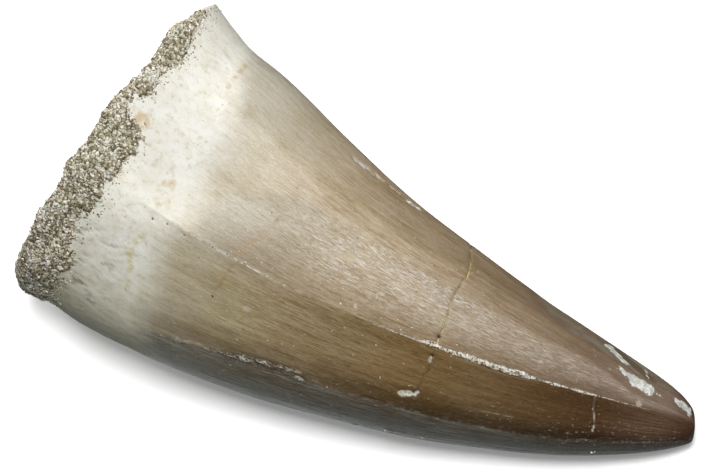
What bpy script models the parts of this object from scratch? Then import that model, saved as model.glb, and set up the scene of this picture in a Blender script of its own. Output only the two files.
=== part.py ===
"""A fossil mosasaur tooth lying on its side, with sandy rock on its broken root.

Frame: metres, +Z up, origin under the middle of the object on the surface it
lies on. +X runs from the root to the tip. The tooth bows towards -Y.

Two separate pieces: the tooth, which grew as one (crown and root stump), and
the matrix, the cap of sandstone cemented over the root's broken end.
"""

import math

import bmesh
import bpy
from mathutils import Vector, noise

MM = 0.001

# The tooth's own line, which is an arc seen from above
CHORD = 63.2 * MM  # straight from the middle of the root's end to the tip
BOW = 4.5 * MM  # how far the arc stands off that straight line
LEAN_ROOT = math.radians(14.5)  # the sections lean, as the line comes down to the tip
LEAN_TIP = math.radians(8.5)
ROOT_X = -29.22 * MM  # where the root's end is, which centres the object
ROOT_Y = 0.67 * MM

# How thick it is, and how the thickness goes down to the tip
ROOT_HALF_WIDTH = 18.4 * MM
NARROWING = 4.8 * MM
BELLY_SHARE = 0.84  # height of the tooth's line over the floor, in half widths
WORN_FLAT = 0.2 * MM  # how much of the belly the flat spot has lost
TIP_LIFT = 0.9 * MM  # how far the very tip stands off the floor

# The sections are rounded many-sided shapes. Angles are in degrees from the
# cutting ridge, positive towards the near side, and reaches are in half widths.
FACETS = (
    (-18, 0.95),
    (27, 0.885),
    (78, 0.945),
    (110, 0.93),
    (134, 0.85),
    (168, 0.85),
    (203, 0.92),
    (240, 0.985),
    (268, 0.995),
    (294, 0.975),
)
FACET_SHARPNESS = 22
ROUND_SHARPNESS = 9
ENAMEL_START = 9.5 * MM  # the crown's enamel begins here, past the root

# The cutting ridge, or carina, runs along the near side from root to tip, and a
# weaker one runs along the hidden side. The angles are from straight up, and
# from the one ridge to the other.
RIDGE_ANGLE_ROOT = math.radians(29)
RIDGE_ANGLE_TIP = math.radians(20)
RIDGE_TURN_START = 0.3
RIDGE_HEIGHT = 0.45 * MM
RIDGE_WIDTH = 1.1 * MM
BACK_RIDGE_TURN = math.radians(221)
BACK_RIDGE_HEIGHT = 0.3 * MM

# The matrix has a skew back and a ragged front edge. Angles are in degrees from
# straight up, positive towards the near side.
BACK_SET = 0.4 * MM
BACK_SKEW = 1.5 * MM
BACK_SKEW_ANGLE = math.radians(95)
MATRIX_EDGE = (
    (-80, 1.8 * MM),
    (-60, 0.6 * MM),
    (-36, 1.0 * MM),
    (-16, 2.6 * MM),
    (3, 2.1 * MM),
    (13, 4.9 * MM),
    (28, 4.7 * MM),
    (47, 5.7 * MM),
    (60, 4.8 * MM),
    (68, 6.5 * MM),
    (84, 5.6 * MM),
    (115, 5.4 * MM),
    (160, 4.0 * MM),
    (200, 5.6 * MM),
    (235, 3.6 * MM),
    (262, 4.4 * MM),
)

# Lumps around the rim of the matrix, as (degrees, height)
RIM_LUMPS = (
    (-32, 0.55 * MM),
    (12, 0.4 * MM),
    (33, 0.4 * MM),
    (57, 0.4 * MM),
    (150, 0.5 * MM),
    (215, 0.6 * MM),
)
RIM_LUMP_SPREAD = 9
SEAM = 0.3 * MM  # gap between the tooth and its matrix
SEAM_DISH = 1.6 * MM  # the root's broken end is hollow by this much

# Two worn places: a facet along the upper side before the tip, and the blunt tip
# itself. Each is a plane that nothing near it passes, as its place on the tooth's
# line, its angle from straight up, its slope towards the tip, its depth, and how
# soft its edge is.
WORN_PLACES = (
    (0.865, math.radians(-47), math.radians(19), 0.45 * MM, 0.08 * MM),
    (1.0, math.radians(-60), math.radians(82), 0.9 * MM, 0.3 * MM),
)
WEAR_NEAR = 8 * MM
WEAR_FAR = 12 * MM

# Roughness: soft swellings on the tooth, and lumps on the matrix
SWELL_SIZE = 9 * MM
SWELL_HEIGHT = 0.14 * MM
LUMP_SIZE = 4.2 * MM
LUMP_HEIGHT = 0.75 * MM
GRIT_SIZE = 1.5 * MM
GRIT_HEIGHT = 0.22 * MM
CRUST_HEIGHT = 0.25 * MM  # how far the matrix stands out over the root's skin
CALM_SHARE = 0.3  # how much of the lumps is left at the matrix's front edge
RIM_ROUNDING = 0.03  # how much the matrix draws in at its back rim

# Fineness of the two meshes, and the share of the rings on each stretch
TOOTH_RINGS = 50
TOOTH_SECTORS = 60
MATRIX_RINGS = 20
MATRIX_SECTORS = 60
BROKEN_END_SHARE = 0.1
MATRIX_BACK_SHARE = 0.45
MATRIX_RIM_SHARE = 0.75
TIP_CROWDING = 1.5

ARC_RADIUS = CHORD**2 / (8 * BOW) + BOW / 2
ARC_HALF_TURN = math.asin(CHORD / 2 / ARC_RADIUS)
ARC_LENGTH = 2 * ARC_RADIUS * ARC_HALF_TURN

ENAMEL_COLOUR = (0.30, 0.21, 0.12)
MATRIX_COLOUR = (0.36, 0.31, 0.24)


def smooth_step(low, high, value):
    share = min(1.0, max(0.0, (value - low) / (high - low)))
    return share * share * (3 - 2 * share)


def half_width(t):
    """Half the tooth's width at t, which runs from 0 at the root to 1 at the tip."""
    return (ROOT_HALF_WIDTH - NARROWING * t) * math.sqrt(max(0.0, 1 - t))


def ridge_angle(t):
    turned = smooth_step(RIDGE_TURN_START, 1, t)
    return RIDGE_ANGLE_ROOT + (RIDGE_ANGLE_TIP - RIDGE_ANGLE_ROOT) * turned


def section_reach(turn, t):
    """Distance from the tooth's line to its skin, turn radians on from the ridge."""
    crown = smooth_step(0.5 * ENAMEL_START, 1.6 * ENAMEL_START, t * ARC_LENGTH)
    tip = smooth_step(0.9, 1.0, t)
    sharpness = ROUND_SHARPNESS + (FACET_SHARPNESS - ROUND_SHARPNESS) * crown * (1 - tip)
    total = 0.0
    for degrees, distance in FACETS:
        facing = math.cos(turn - math.radians(degrees))
        if facing > 0:
            total += (facing / distance) ** sharpness
    width = half_width(t)
    ridges = crown * (1 - tip) * min(1.0, 2.2 * width / ROOT_HALF_WIDTH)
    near = abs(math.remainder(turn, 2 * math.pi)) * width
    far = abs(math.remainder(turn - BACK_RIDGE_TURN, 2 * math.pi)) * width
    return (
        width * total ** (-1 / sharpness)
        + ridges * RIDGE_HEIGHT * math.exp(-near / RIDGE_WIDTH)
        + ridges * BACK_RIDGE_HEIGHT * math.exp(-far / RIDGE_WIDTH)
    )


def tooth_line(t):
    """The point on the tooth's line at t, and its along, side and up directions."""
    bearing = (2 * t - 1) * ARC_HALF_TURN
    lean = LEAN_ROOT + (LEAN_TIP - LEAN_ROOT) * t
    height = BELLY_SHARE * half_width(t) * math.cos(lean) - WORN_FLAT
    height += TIP_LIFT * smooth_step(0.7, 1.0, t)
    centre = Vector((
        ROOT_X + CHORD / 2 + ARC_RADIUS * math.sin(bearing),
        ROOT_Y - ARC_RADIUS * (math.cos(bearing) - math.cos(ARC_HALF_TURN)),
        height,
    ))
    flat = Vector((math.cos(bearing), math.sin(bearing), 0))
    side = Vector((math.sin(bearing), -math.cos(bearing), 0))
    up = flat * math.sin(lean) + Vector((0, 0, math.cos(lean)))
    along = flat * math.cos(lean) - Vector((0, 0, math.sin(lean)))
    return centre, along, side, up


def outward(turn, t):
    """The direction in section t that is turn radians on from the ridge."""
    _, _, side, up = tooth_line(t)
    angle = turn + ridge_angle(t)
    return up * math.cos(angle) + side * math.sin(angle)


def skin(turn, t):
    centre = tooth_line(t)[0]
    return centre + outward(turn, t) * section_reach(turn, t)


def worn_plane(t, angle, slope, depth, softness):
    """A point on a worn place, the way that place faces, and its softness."""
    centre, along, side, up = tooth_line(t)
    across = up * math.cos(angle) + side * math.sin(angle)
    facing = across * math.cos(slope) + along * math.sin(slope)
    reach = section_reach(angle - ridge_angle(t), t)
    return centre + across * reach - facing * depth, facing, softness


WORN_PLANES = tuple(worn_plane(*place) for place in WORN_PLACES)


def worn(point):
    """The point after wear: behind each worn place, and no lower than the floor."""
    for on_plane, facing, softness in WORN_PLANES:
        away = point - on_plane
        share = 1 - smooth_step(WEAR_NEAR, WEAR_FAR, away.length)
        past = away.dot(facing) / softness
        over = max(0.0, past) + math.log1p(math.exp(-abs(past)))
        point = point - facing * softness * over * share
    return Vector((point.x, point.y, max(0.0, point.z)))


def swelling(point, size, height):
    return height * noise.noise(point / size)


def root_angle(turn):
    """Degrees from straight up at the root, turn radians on from the ridge."""
    return math.degrees(turn + RIDGE_ANGLE_ROOT)


def matrix_edge(turn):
    """How far along the tooth the matrix reaches, turn radians on from the ridge."""
    first = MATRIX_EDGE[0][0]
    angle = first + (root_angle(turn) - first) % 360
    stops = MATRIX_EDGE + ((first + 360, MATRIX_EDGE[0][1]),)
    for (low, start), (high, end) in zip(stops, stops[1:]):
        if angle <= high:
            return start + (end - start) * smooth_step(low, high, angle)
    return stops[-1][1]


def broken_end(turn, share, gap):
    """A point on the surface between tooth and matrix. share is 0 in the middle."""
    edge = matrix_edge(turn)
    mean = sum(length for _, length in MATRIX_EDGE) / len(MATRIX_EDGE)
    length = mean + (edge - mean) * share**2 + SEAM_DISH * (1 - share**2) - gap
    t = length / ARC_LENGTH
    centre = tooth_line(t)[0]
    return centre + (skin(turn, t) - centre) * share


def tooth_point(ring, turn):
    """Where the ball's point goes on the tooth. ring is 0 at the root, 1 at the tip."""
    if ring < BROKEN_END_SHARE:
        return worn(broken_end(turn, ring / BROKEN_END_SHARE, 0))
    start = matrix_edge(turn) / ARC_LENGTH
    along = (ring - BROKEN_END_SHARE) / (1 - BROKEN_END_SHARE)
    t = start + (1 - start) * (1 - (1 - along) ** TIP_CROWDING)
    point = skin(turn, t)
    fade = 1 - smooth_step(0.8, 1.0, t)
    point += outward(turn, t) * fade * swelling(point, SWELL_SIZE, SWELL_HEIGHT)
    return worn(point)


def rim_lumps(turn):
    total = 0.0
    for angle, height in RIM_LUMPS:
        away = math.remainder(root_angle(turn) - angle, 360) / RIM_LUMP_SPREAD
        total += height * math.exp(-away * away)
    return total


def matrix_point(ring, turn):
    """Where the ball's point goes on the matrix. ring is 0 behind, 1 at the seam."""
    if ring > MATRIX_RIM_SHARE:
        share = (1 - ring) / (1 - MATRIX_RIM_SHARE)
        return worn(broken_end(turn, share, SEAM))
    share = min(1.0, ring / MATRIX_BACK_SHARE)
    skew = math.cos(math.radians(root_angle(turn)) - BACK_SKEW_ANGLE)
    back = BACK_SET + BACK_SKEW * share * skew - rim_lumps(turn) * smooth_step(0.6, 1, share)
    front = matrix_edge(turn) - SEAM
    along = max(0.0, (ring - MATRIX_BACK_SHARE) / (MATRIX_RIM_SHARE - MATRIX_BACK_SHARE))
    t = (back + (front - back) * along) / ARC_LENGTH
    centre, towards_tip, _, _ = tooth_line(t)
    point = centre + (skin(turn, t) - centre) * share * (1 - RIM_ROUNDING * (1 - along) ** 4)
    way = (outward(turn, t) * share**3 - towards_tip * (1 - along)).normalized()
    lump = swelling(point, LUMP_SIZE, LUMP_HEIGHT) + swelling(point, GRIT_SIZE, GRIT_HEIGHT)
    crust = CRUST_HEIGHT * smooth_step(0, 0.3, along)
    calm = 1 - smooth_step(0.6, 1, along)
    return worn(point + way * (crust + lump * (CALM_SHARE + (1 - CALM_SHARE) * calm)))


def drawn_out_ball(name, rings, sectors, place):
    """A ball whose points are moved by place(ring, turn), with its own material."""
    ball = bmesh.new()
    bmesh.ops.create_uvsphere(ball, u_segments=sectors, v_segments=rings, radius=1)
    for vertex in ball.verts:
        ring = math.acos(min(1, max(-1, vertex.co.z))) / math.pi
        # Seen from behind the root, turns run clockwise, against the ball's own
        turn = -math.atan2(vertex.co.y, vertex.co.x)
        vertex.co = place(ring, turn)
    mesh = bpy.data.meshes.new(name)
    ball.to_mesh(mesh)
    ball.free()
    mesh.shade_smooth()
    mesh.set_sharp_from_angle(angle=math.radians(40))
    return bpy.data.objects.new(name, mesh)


def material(name, colour, roughness):
    finish = bpy.data.materials.new(name)
    finish.use_nodes = True
    surface = finish.node_tree.nodes["Principled BSDF"]
    surface.inputs["Base Color"].default_value = (*colour, 1)
    surface.inputs["Roughness"].default_value = roughness
    surface.inputs["Metallic"].default_value = 0
    return finish


def main():
    for thing in list(bpy.data.objects):
        bpy.data.objects.remove(thing)
    tooth = drawn_out_ball("tooth", TOOTH_RINGS, TOOTH_SECTORS, tooth_point)
    tooth.data.materials.append(material("enamel", ENAMEL_COLOUR, 0.3))
    matrix = drawn_out_ball("matrix", MATRIX_RINGS, MATRIX_SECTORS, matrix_point)
    matrix.data.materials.append(material("sandstone", MATRIX_COLOUR, 0.9))
    fossil = bpy.data.collections.new("mosasaur_tooth")
    bpy.context.scene.collection.children.link(fossil)
    for piece in (tooth, matrix):
        fossil.objects.link(piece)


main()
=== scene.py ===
"""The looks of a fossil mosasaur tooth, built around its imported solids.

Lengths in this script are in millimetres until a mesh is made. The tooth's shape
repeats the source's own functions, on a much finer grid, and the fine relief,
the cracks, the chips and the grains of the rock are added to it here.

t is the share of the way along the tooth's line, and a length is in mm along it.
A turn is in radians round that line from the main ridge. Degrees round the tooth
are from straight up, and the near side is positive.
"""

import math

import bpy
import numpy as np
from mathutils import Matrix, Vector, noise


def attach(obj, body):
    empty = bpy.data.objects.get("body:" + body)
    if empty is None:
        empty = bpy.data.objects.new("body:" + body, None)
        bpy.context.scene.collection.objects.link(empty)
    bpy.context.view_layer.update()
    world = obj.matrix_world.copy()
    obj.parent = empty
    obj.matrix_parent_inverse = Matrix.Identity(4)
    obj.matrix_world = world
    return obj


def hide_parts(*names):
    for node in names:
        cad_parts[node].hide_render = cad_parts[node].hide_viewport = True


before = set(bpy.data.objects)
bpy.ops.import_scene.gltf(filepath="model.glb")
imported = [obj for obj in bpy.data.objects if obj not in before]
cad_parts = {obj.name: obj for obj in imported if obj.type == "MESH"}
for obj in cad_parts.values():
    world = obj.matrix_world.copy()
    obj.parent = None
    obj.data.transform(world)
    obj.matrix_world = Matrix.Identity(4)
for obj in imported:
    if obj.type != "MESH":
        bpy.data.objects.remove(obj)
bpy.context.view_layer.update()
MM = 0.001

# ------------ shape, as in the source
CHORD = 63.2
BOW = 4.5
LEAN_ROOT = math.radians(14.5)
LEAN_TIP = math.radians(8.5)
ROOT_X = -29.22
ROOT_Y = 0.67
ROOT_HALF_WIDTH = 18.4
NARROWING = 4.8
BELLY_SHARE = 0.84
WORN_FLAT = 0.2
TIP_LIFT = 0.9
FACETS = (
    (-18, 0.95), (27, 0.885), (50, 0.93), (78, 0.945), (110, 0.93), (134, 0.85), (168, 0.85),
    (203, 0.92), (240, 0.985), (268, 0.995), (294, 0.975),
)
FACET_SHARPNESS = 22
ROUND_SHARPNESS = 9
ENAMEL_START = 9.5
RIDGE_ANGLE_ROOT = math.radians(29)
RIDGE_ANGLE_TIP = math.radians(20)
RIDGE_TURN_START = 0.3
RIDGE_HEIGHT = 0.45
RIDGE_WIDTH = 1.1
BACK_RIDGE_TURN = math.radians(221)
BACK_RIDGE_HEIGHT = 0.3
BACK_SET = 0.4
BACK_SKEW = 1.5
BACK_SKEW_ANGLE = 95
MATRIX_EDGE = (
    (-80, 1.8), (-60, 0.6), (-36, 1), (-16, 2.6), (3, 2.1), (13, 4.9), (28, 4.7), (47, 5.7),
    (60, 4.8), (68, 6.5), (84, 5.6), (115, 5.4), (160, 4), (200, 5.6), (235, 3.6), (262, 4.4),
)
CRUST_EDGE = (
    (-180, 5), (-150, 4.6), (-130, 3.4), (-118, 1.5), (-106, -0.6), (-80, -1.2), (-58, -0.8),
    (-45, 0), (-35, 0.9), (-27, 1.4), (-23, 2.1), (-17, 2.6), (-12, 2.5), (-7, 2.2), (-1, 2.9),
    (2, 1.6), (6, 1.6), (9, 2.8), (10, 4.2), (11, 4.8), (16, 5.1), (21, 4.7), (26, 4.9),
    (31, 4.6), (35, 5.1), (39, 5.1), (43, 5.2), (46, 4.7), (50, 4.3), (54, 4.7), (57, 5.2),
    (61, 5), (65, 5.9), (70, 6), (76, 5.8), (111, 5.4), (150, 4.6), (180, 5),
)
RIM_LUMPS = ((-32, 0.55), (12, 0.4), (33, 0.4), (57, 0.4), (150, 0.5), (215, 0.6))
RIM_LUMP_SPREAD = 9
WORN_PLACES = (
    (0.865, math.radians(-47), math.radians(19), 0.45, 0.08),
    (1.0, math.radians(-60), math.radians(82), 0.9, 0.3),
)
WEAR_NEAR = 8
WEAR_FAR = 12
SWELL_SIZE = 9
SWELL_HEIGHT = 0.14
LUMP_SIZE = 4.2
LUMP_HEIGHT = 0.75
GRIT_SIZE = 1.5
GRIT_HEIGHT = 0.22
CRUST_HEIGHT = 0.25
CALM_SHARE = 0.3
RIM_ROUNDING = 0.03

ARC_RADIUS = CHORD**2 / (8 * BOW) + BOW / 2
ARC_HALF_TURN = math.asin(CHORD / 2 / ARC_RADIUS)
ARC_LENGTH = 2 * ARC_RADIUS * ARC_HALF_TURN


def smooth_step(low, high, value):
    share = np.clip((value - low) / (high - low), 0, 1)
    return share * share * (3 - 2 * share)


def between(value, rise, risen, fall, fallen):
    """1 in the middle of a range, with soft ends."""
    return smooth_step(rise, risen, value) * (1 - smooth_step(fall, fallen, value))


def lengths(vectors):
    return np.sqrt((vectors**2).sum(-1))


def scaled(vectors, amounts):
    return vectors * np.asarray(amounts)[..., None]


def half_width(t):
    return (ROOT_HALF_WIDTH - NARROWING * t) * np.sqrt(np.clip(1 - t, 0, None))


def ridge_angle(t):
    turned = smooth_step(RIDGE_TURN_START, 1, t)
    return RIDGE_ANGLE_ROOT + (RIDGE_ANGLE_TIP - RIDGE_ANGLE_ROOT) * turned


def wrapped(angle, full):
    """The angle brought within half a turn either way of zero."""
    return (angle + full / 2) % full - full / 2


def section_reach(turn, t):
    crown = smooth_step(0.5 * ENAMEL_START, 1.6 * ENAMEL_START, t * ARC_LENGTH)
    tip = smooth_step(0.9, 1.0, t)
    sharpness = ROUND_SHARPNESS + (FACET_SHARPNESS - ROUND_SHARPNESS) * crown * (1 - tip)
    total = 0
    for degrees, distance in FACETS:
        facing = np.clip(np.cos(turn - math.radians(degrees)), 0, None)
        total = total + (facing / distance) ** sharpness
    width = half_width(t)
    ridges = crown * (1 - tip) * np.minimum(1, 2.2 * width / ROOT_HALF_WIDTH)
    near = np.abs(wrapped(turn, 2 * math.pi)) * width
    far = np.abs(wrapped(turn - BACK_RIDGE_TURN, 2 * math.pi)) * width
    return (
        width * total ** (-1 / sharpness)
        + ridges * RIDGE_HEIGHT * np.exp(-near / RIDGE_WIDTH)
        + ridges * BACK_RIDGE_HEIGHT * np.exp(-far / RIDGE_WIDTH)
    )


def tooth_line(t):
    """The tooth's line at t, with its along, side and up directions."""
    bearing = (2 * t - 1) * ARC_HALF_TURN
    lean = LEAN_ROOT + (LEAN_TIP - LEAN_ROOT) * t
    height = BELLY_SHARE * half_width(t) * np.cos(lean) - WORN_FLAT
    height = height + TIP_LIFT * smooth_step(0.7, 1.0, t)
    nought = np.zeros_like(bearing)
    centre = np.stack(
        (
            ROOT_X + CHORD / 2 + ARC_RADIUS * np.sin(bearing),
            ROOT_Y - ARC_RADIUS * (np.cos(bearing) - math.cos(ARC_HALF_TURN)),
            height,
        ),
        -1,
    )
    flat = np.stack((np.cos(bearing), np.sin(bearing), nought), -1)
    side = np.stack((np.sin(bearing), -np.cos(bearing), nought), -1)
    upright = np.array((0.0, 0.0, 1.0))
    up = scaled(flat, np.sin(lean)) + scaled(upright, np.cos(lean))
    along = scaled(flat, np.cos(lean)) - scaled(upright, np.sin(lean))
    return centre, along, side, up


def outward(turn, t):
    _, _, side, up = tooth_line(t)
    angle = turn + ridge_angle(t)
    return scaled(up, np.cos(angle)) + scaled(side, np.sin(angle))


def skin(turn, t):
    return tooth_line(t)[0] + scaled(outward(turn, t), section_reach(turn, t))


def worn_plane(t, angle, slope, depth, softness):
    t = np.array(t)
    centre, along, side, up = tooth_line(t)
    across = up * math.cos(angle) + side * math.sin(angle)
    facing = across * math.cos(slope) + along * math.sin(slope)
    reach = section_reach(angle - ridge_angle(t), t)
    return centre + across * reach - facing * depth, facing, softness


WORN_PLANES = tuple(worn_plane(*place) for place in WORN_PLACES)


def worn(points):
    """The points after wear, and how much each place has taken off them."""
    taken = []
    for on_plane, facing, softness in WORN_PLANES:
        away = points - on_plane
        share = 1 - smooth_step(WEAR_NEAR, WEAR_FAR, lengths(away))
        past = (away @ facing) / softness
        over = np.maximum(0, past) + np.log1p(np.exp(-np.abs(past)))
        loss = softness * over * share
        points = points - scaled(facing, loss)
        taken.append(loss)
    points = points.copy()
    points[..., 2] = np.maximum(0, points[..., 2])
    return points, taken


def on_root(turn):
    """Degrees from straight up at the root."""
    return np.degrees(turn + RIDGE_ANGLE_ROOT)


def matrix_edge(turn):
    first = MATRIX_EDGE[0][0]
    angle = first + (on_root(turn) - first) % 360
    stops = MATRIX_EDGE + ((first + 360, MATRIX_EDGE[0][1]),)
    edge = np.zeros_like(angle)
    for (low, start), (high, end) in zip(stops, stops[1:]):
        within = (angle >= low) & (angle <= high)
        edge = np.where(within, start + (end - start) * smooth_step(low, high, angle), edge)
    return edge


def rim_lumps(turn):
    total = 0
    for angle, height in RIM_LUMPS:
        away = wrapped(on_root(turn) - angle, 360) / RIM_LUMP_SPREAD
        total = total + height * np.exp(-away * away)
    return total


# ------------ noise on many points
def soft_noise(points, size):
    """Smooth noise from about -1 to 1, with features of about this size."""
    flat = (points.reshape(-1, 3) / size).tolist()
    values = np.fromiter((noise.noise(p) for p in flat), float, len(flat))
    return values.reshape(points.shape[:-1])


def cell_noise(points, size):
    """Distance to the middle of the nearest cell, in cells."""
    flat = (points.reshape(-1, 3) / size).tolist()
    near = np.fromiter((noise.voronoi(p)[0][0] for p in flat), float, len(flat))
    return near.reshape(points.shape[:-1])


def spaced(low, high, count, density):
    """Places from low to high, closer together where density is greater."""
    fine = np.linspace(low, high, 8001)
    total = np.concatenate(([0], np.cumsum(density((fine[1:] + fine[:-1]) / 2))))
    return np.interp(np.linspace(0, total[-1], count), total, fine)


# ------------ meshes
def placed(name, data):
    """A new object in the scene, made from a mesh, a light or a camera."""
    thing = bpy.data.objects.new(name, data)
    bpy.context.scene.collection.objects.link(thing)
    return thing


def closed_sheet(name, rows, first_point, last_point, fields):
    """A closed mesh from rows of points that go round, with a point at each end.

    fields gives each attribute's values on the rows. The two ends take the value of
    the first place in the row beside them.
    """
    count, around = rows.shape[:2]
    points = np.concatenate((rows.reshape(-1, 3), [first_point, last_point]))
    index = np.arange(count * around).reshape(count, around)
    after = np.roll(index, -1, axis=1)
    quads = np.stack((index[:-1], after[:-1], after[1:], index[1:]), -1).reshape(-1, 4)
    first, last = count * around, count * around + 1
    start = np.stack((np.full(around, first), after[0], index[0]), -1)
    end = np.stack((np.full(around, last), index[-1], after[-1]), -1)
    mesh = bpy.data.meshes.new(name)
    faces = start.tolist() + quads.tolist() + end.tolist()
    corner = points[quads]
    volume = (corner[:, 0] * np.cross(corner[:, 1], corner[:, 2])).sum()
    volume += (corner[:, 0] * np.cross(corner[:, 2], corner[:, 3])).sum()
    if volume < 0:
        faces = [face[::-1] for face in faces]
    mesh.from_pydata((points * MM).tolist(), [], faces)
    for field, values in fields.items():
        ends = [values[row, :1].reshape(1, -1) for row in (0, -1)]
        values = values.reshape(count * around, -1)
        add_field(mesh, field, np.concatenate([values] + ends))
    mesh.shade_smooth()
    return placed(name, mesh)


def add_field(mesh, name, values):
    kind, data = ("FLOAT_VECTOR", "vector") if values.shape[-1] == 3 else ("FLOAT", "value")
    field = mesh.attributes.new(name, kind, "POINT")
    field.data.foreach_set(data, values.astype(np.float32).ravel())


# ------------ where the marks are
# Lines on the skin give degrees round the tooth and mm along it, or mm along it and
# degrees, or mm along it and a half width. Spots and streaks are points in the
# model's frame, in mm, with a radius.
ENAMEL_LINE = (
    (-180, 12), (-140, 8), (-90, 4.2), (-58, 4), (-37, 5.5), (-15, 8), (7, 9.5), (21, 10.2),
    (35, 9.8), (56, 10.9), (77, 11.9), (100, 13.2), (131, 14.1), (180, 12),
)
BAND_TOP = (
    (11, 12), (15.5, 5), (19, -4), (24, -7), (32, -8), (40, -9), (46, -6), (50, -8), (53, -4),
    (56, 8),
)
# Half width of the pale line on the ridge's crest, by mm along: before about 25 mm a thin painted
# highlight on the smooth crest, further on white chips
CREST = (
    (9.5, 0), (10, 0.06), (14, 0.07), (19, 0.07), (20.5, 0.05), (22.5, 0.03), (25, 0), (30, 0),
    (31, 0.03), (34.5, 0.05), (35.6, 0.12), (36.2, 0.35), (36.8, 0.2), (37.6, 0.1), (38.5, 0.2),
    (39.5, 0.32), (41, 0.24), (42, 0.3), (43.5, 0.28), (45, 0.26), (46.2, 0.18), (47, 0.07),
    (48.5, 0.12), (49.5, 0.05), (50.5, 0.1), (52.3, 0.08), (53, 0.03), (56, 0.02), (58, 0),
)
# (degrees, mm along) down each crack, and its half width
CRACKS = (
    (
        (
            (-75, 36.4), (-42, 36.6), (-28, 37), (-17, 37.1), (-10, 36.7), (-5, 36.5), (4, 36.6),
            (15, 36.9), (21, 36.7), (29, 37), (36, 37.2), (45, 37), (62, 36.9),
        ),
        0.085,
    ),
    (((23, 52.4), (32, 52.5), (42, 52.9), (52, 53.2), (60, 53.2)), 0.1),
)
LOW_EDGE = (
    (9, 84), (12, 81), (16, 77), (18.6, 76), (21.6, 73), (25.6, 70), (27.2, 73), (36, 72),
    (45, 73), (54, 72), (62, 72),
)
# Degrees, from and to in mm along, half width
FLECKS = (
    (75.5, 18.9, 19.4, 0.08), (74.5, 20.2, 21.6, 0.14), (73.4, 21.9, 22.8, 0.16),
    (74.8, 22.2, 22.7, 0.07), (71.8, 23.5, 24.6, 0.1), (70.8, 24.9, 25.2, 0.07),
    (70.2, 25.3, 26.1, 0.13), (69.2, 26.4, 27, 0.16), (78, 16.4, 16.9, 0.08),
    (79, 15.2, 15.5, 0.06), (71, 28.3, 28.7, 0.06), (72.5, 26, 26.3, 0.08),
)
FAR_CHIPS = (
    ((-5, 5.8, 20.1), (-2.2, 5.7, 18.5), 0.42), ((-1.4, 5.6, 18.1), (-0.4, 5.5, 17.6), 0.2),
    ((0.9, 5.1, 17.2), (2, 5.1, 16.4), 0.34), ((4.4, 4.6, 15.2), (4.9, 4.5, 15), 0.16),
)
CRUMBS = (
    ((3.2, -13.7, 5.9), (3.5, -13.7, 6), 0.16), ((6.3, -13.4, 6.6), (6.8, -13.3, 6.4), 0.2),
    ((9.4, -12.8, 6.7), (9.8, -12.7, 6.3), 0.16), ((22.3, -8.5, 7), (23.2, -8.1, 6.6), 0.16),
    ((25, -7.2, 4.9), (25.4, -7.1, 5), 0.14), ((8, -13.1, 6.2), (8.1, -13.1, 6.1), 0.12),
)
WHITE_STREAKS = (
    ((23.2, 2.4, 8.2), (24.9, 1.1, 9), 0.72), ((25, -0.2, 10.2), (26.3, -0.5, 9.6), 0.26),
    ((26.6, -0.5, 9.4), (28.4, -0.5, 8.4), 0.55), ((27.2, 2, 6.9), (27.8, 0.8, 8.2), 0.22),
    ((29.1, -0.4, 7.9), (29.7, -0.2, 7.5), 0.1), ((31, 0.5, 6.3), (31.7, 0.7, 5.6), 0.38),
    ((31.7, 0.6, 5.5), (32.4, 0.6, 4.9), 0.48), ((0.8, 5, 17.3), (1.9, 5.1, 16.4), 0.32),
)
BARE_END = (((23.4, 3, 7.8), (27.5, 1.3, 7.8), 1.2),)
CHIPS = (
    ((7.3, -12, 12.8), (7.9, -11.7, 12.8), 0.42), ((8.6, -11.4, 13), (8.5, -11.6, 12.6), 0.2),
    ((8.75, -8.2, 16.9), (8.95, -9.2, 15.9), 0.16),
)
# Place, radius, depth
PITS = (
    ((9, -7.2, 17.4), 0.22, 0.35), ((9, -8.8, 16.4), 0.18, 0.3), ((-17, -10.2, 25.8), 0.13, 0.1),
    ((-15.2, -10.4, 25.3), 0.12, 0.1), ((-12.4, -10.3, 24.8), 0.11, 0.1),
    ((-7.6, -10.4, 23), 0.1, 0.1), ((-11.5, -12.9, 20.2), 0.14, 0.08),
    ((-18.5, -10.3, 25.9), 0.19, 0.12), ((-21.1, -10.8, 25.4), 0.15, 0.1),
    ((-22.2, -3.4, 29.9), 0.15, 0.1),
)
PALE_SPOTS = (
    ((24.2, -0.9, 10.6), 0.22), ((27.9, -2.4, 8.9), 0.42), ((1.2, -8.7, 20.3), 0.3),
    ((-8.2, -12.5, 19.6), 0.45), ((18.2, -4.1, 13.5), 0.3), ((4.8, -0.6, 19.8), 0.16),
    ((-0.1, -0.5, 22.1), 0.12), ((-1, -6.4, 21.7), 0.12), ((29.4, -4, 5.8), 0.16),
    ((24, -6.8, 7.9), 0.18), ((25.6, -6.3, 7.1), 0.14), ((26.5, -6, 6.6), 0.16),
    ((22.6, -7.6, 8), 0.22),
)
STAIN_LINE = (
    (-8, -5.1, 24.7), (-8.8, -7.1, 24.5), (-9.5, -8.4, 24.4), (-10, -9.5, 24.3),
    (-10.5, -11.1, 23), (-11, -12, 21.5), (-11.4, -12.5, 20.9),
)
YELLOW_LINE = (
    (-19, -11.6, 24.4), (-20.1, -12.7, 22.8), (-19.5, -13.4, 21.5), (-19.7, -14.3, 20.1),
    (-19.5, -14.8, 19),
)
OCHRE_LINE = ((-17.3, 10.2, 24), (-17.4, 8.1, 25.8), (-17.3, 6, 27.3), (-17.2, 3.9, 28.4))
PALE_THREAD = (
    (10.1, -11.2, 12.2), (12.2, -10.6, 11.7), (14.1, -10.1, 11.1), (16.3, -9.3, 10.4),
    (18.2, -8.8, 9.9),
)
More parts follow.
